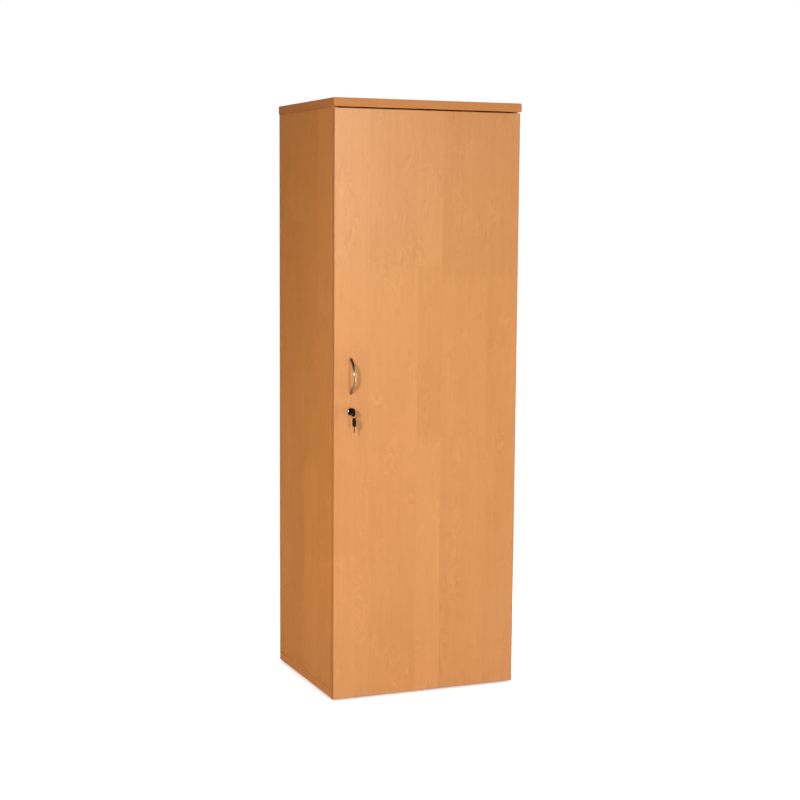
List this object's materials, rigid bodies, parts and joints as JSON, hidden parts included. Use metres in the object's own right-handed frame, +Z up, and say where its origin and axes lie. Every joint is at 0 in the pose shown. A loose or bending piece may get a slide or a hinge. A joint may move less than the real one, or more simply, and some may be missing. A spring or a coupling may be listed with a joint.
{
  "type": "single-door wardrobe",
  "caption": "Tall laminated office wardrobe with a hinged overlay door, bow handle, keyed cam lock, hat shelf and hanging rail inside.",
  "frame": {"origin": "on the floor, under the middle of the overall box, which takes in the key that hangs in front of the door", "axes": "+Z up, the door faces -Y, +X to the right of someone who faces the door"},
  "size_m": [0.6, 0.5376, 1.78],
  "materials": {
    "beech_laminate": "satin melamine laminate with a beech figure",
    "back_board": "thin board with a printed beech face",
    "dowel_wood": "bare turned beech",
    "zinc_steel": "zinc-plated pressed steel",
    "chrome": "polished chrome plate",
    "satin_nickel": "satin nickel plate",
    "lock_nickel": "dark polished nickel",
    "black_plastic": "moulded black plastic",
    "pale_plastic": "moulded pale plastic"
  },
  "bodies": {
    "carcass": {"top_panel": "beech_laminate", "base_panel": "beech_laminate", "left_side": "beech_laminate", "right_side": "beech_laminate", "back_panel": "back_board", "hat_shelf": "beech_laminate", "dowel_upper_left_front": "dowel_wood", "dowel_upper_left_back": "dowel_wood", "dowel_upper_right_front": "dowel_wood", "dowel_upper_right_back": "dowel_wood", "dowel_lower_left_front": "dowel_wood", "dowel_lower_left_back": "dowel_wood", "dowel_lower_right_front": "dowel_wood", "dowel_lower_right_back": "dowel_wood", "shelf_pin_left_front": "zinc_steel", "shelf_pin_left_back": "zinc_steel", "shelf_pin_right_front": "zinc_steel", "shelf_pin_right_back": "zinc_steel", "hanging_rail": "chrome", "rail_socket_left": "chrome", "rail_socket_right": "chrome", "hinge_arm_1": "zinc_steel", "hinge_arm_2": "zinc_steel", "hinge_arm_3": "zinc_steel", "hinge_arm_4": "zinc_steel", "hinge_plate_1": "zinc_steel", "hinge_plate_2": "zinc_steel", "hinge_plate_3": "zinc_steel", "hinge_plate_4": "zinc_steel", "strike_plate": "zinc_steel", "strike_screw_upper": "zinc_steel", "strike_screw_lower": "zinc_steel", "glide_front_left": "pale_plastic", "glide_front_right": "pale_plastic", "glide_back_left": "pale_plastic", "glide_back_right": "pale_plastic"},
    "door": {"door_panel": "beech_laminate", "hinge_cup_1": "zinc_steel", "hinge_cup_2": "zinc_steel", "hinge_cup_3": "zinc_steel", "hinge_cup_4": "zinc_steel", "hinge_pin_1": "zinc_steel", "hinge_pin_2": "zinc_steel", "hinge_pin_3": "zinc_steel", "hinge_pin_4": "zinc_steel", "bow_handle": "satin_nickel", "handle_screw_upper": "zinc_steel", "handle_screw_lower": "zinc_steel", "lock_housing": "lock_nickel", "lock_nut": "zinc_steel", "door_bumper_upper": "pale_plastic", "door_bumper_lower": "pale_plastic"},
    "lock_plug": {"lock_plug": "lock_nickel", "lock_cam": "zinc_steel", "cam_screw": "zinc_steel"},
    "key": {"key_blade": "zinc_steel", "key_head": "black_plastic"},
    "key_ring": {"key_ring": "zinc_steel"},
    "spare_key": {"spare_key_blade": "zinc_steel", "spare_key_head": "black_plastic"}
  },
  "joints": [
    {"name": "door_swing", "type": "hinge", "parent": "carcass", "child": "door", "pos_m": [0.288, -0.22075, 0.878], "axis": [0, 0, 1], "range_deg": [0, 95]},
    {"name": "lock_turn", "type": "hinge", "parent": "door", "child": "lock_plug", "pos_m": [-0.244, -0.22925, 0.87], "axis": [0, 1, 0], "range_deg": [0, 90]},
    {"name": "key_pull", "type": "slide", "parent": "lock_plug", "child": "key", "axis": [0, -1, 0], "range_m": [0, 0.025]},
    {"name": "ring_swing", "type": "hinge", "parent": "key", "child": "key_ring", "pos_m": [-0.244, -0.25625, 0.8686], "axis": [1, 0, 0], "range_deg": [-45, 10]},
    {"name": "spare_key_swing", "type": "hinge", "parent": "key_ring", "child": "spare_key", "pos_m": [-0.244, -0.25625, 0.8516], "axis": [1, 0, 0], "range_deg": [-30, 10]}
  ]
}
